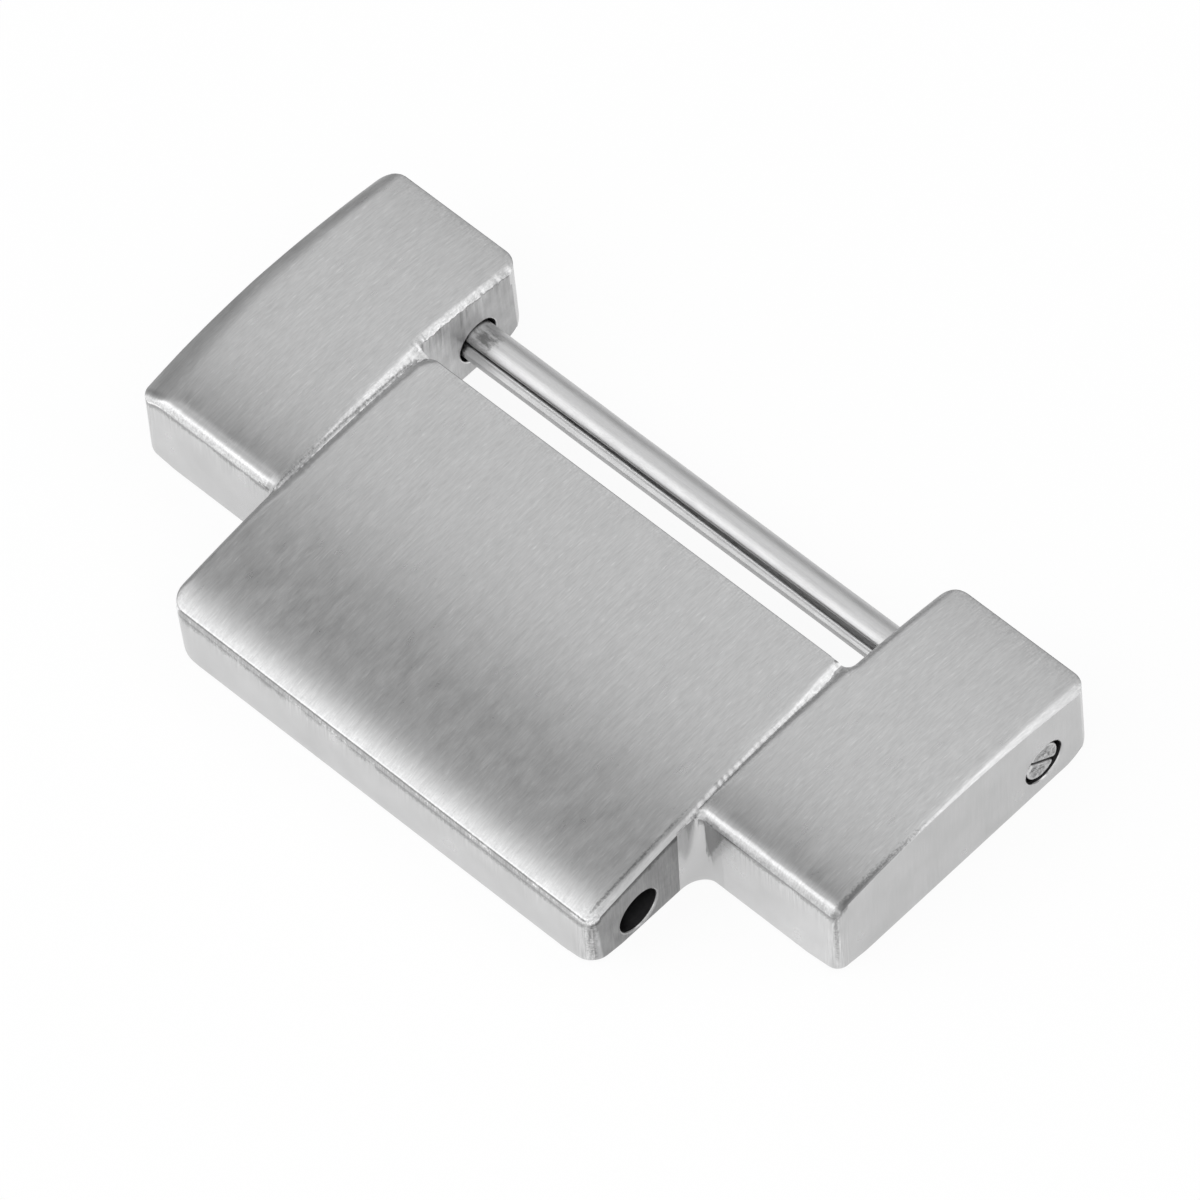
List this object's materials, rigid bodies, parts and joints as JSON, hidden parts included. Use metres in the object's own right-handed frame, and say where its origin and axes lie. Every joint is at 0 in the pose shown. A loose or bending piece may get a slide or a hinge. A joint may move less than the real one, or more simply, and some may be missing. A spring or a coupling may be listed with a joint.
{
  "type": "watch bracelet link",
  "caption": "Steel watch bracelet link: a wide centre block between set-back ears, with a split pin across the rear gap that hinges the next link.",
  "frame": {"origin": "middle of the link's width and length, on the flat underside that lies against the wrist", "axes": "+X along the pin, toward its split tips; +Y toward the ears' back ends and the pin; +Z out of the bracelet's arched face"},
  "size_m": [0.022, 0.012, 0.0029],
  "materials": {
    "body_steel": "satin, brushed along the bracelet",
    "pin_steel": "drawn wire, nearly polished"
  },
  "bodies": {
    "link": {"link_body": "body_steel"},
    "pin": {"split_pin": "pin_steel"}
  },
  "joints": [
    {"name": "pin_slide", "type": "slide", "parent": "link", "child": "pin", "axis": [1, 0, 0], "range_m": [0, 0.0225]}
  ]
}
